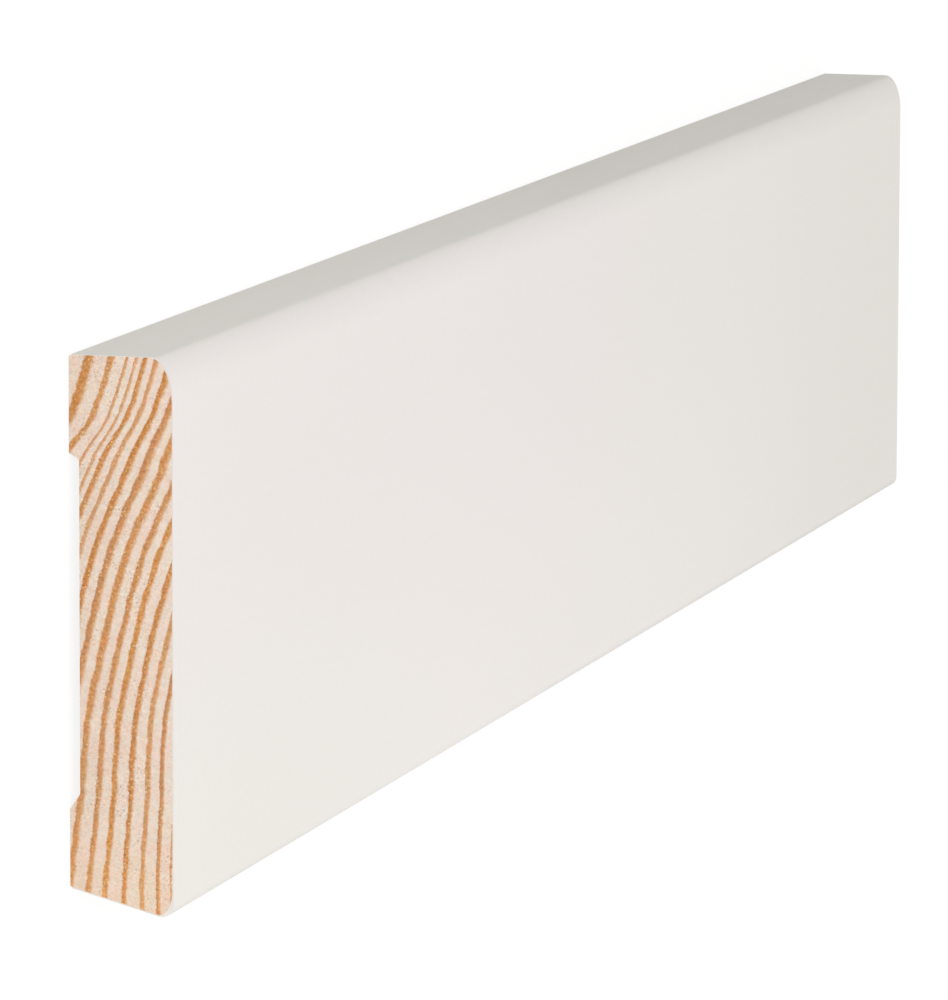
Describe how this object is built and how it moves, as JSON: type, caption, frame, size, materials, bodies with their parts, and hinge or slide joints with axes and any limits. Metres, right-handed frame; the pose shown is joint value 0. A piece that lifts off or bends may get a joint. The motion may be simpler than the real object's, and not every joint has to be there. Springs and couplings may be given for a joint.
{
  "type": "architrave",
  "caption": "Length of plain white-painted softwood architrave with rounded face arrises, a back-bevelled edge, a relieved back and square-sawn ends.",
  "frame": {"origin": "middle of the length and of the width, on the plane that the back's two lands rest on", "axes": "+X along the grain, +Y across the face towards the edge with the larger rounding, +Z out of the painted face; the board lies on its back"},
  "size_m": [0.4, 0.069, 0.0133],
  "materials": {
    "white_paint": "satin white paint on planed pine",
    "bare_pine": "bare pine, sawn at the ends and planed on the back"
  },
  "bodies": {
    "root": {"architrave": "white_paint"}
  },
  "joints": []
}
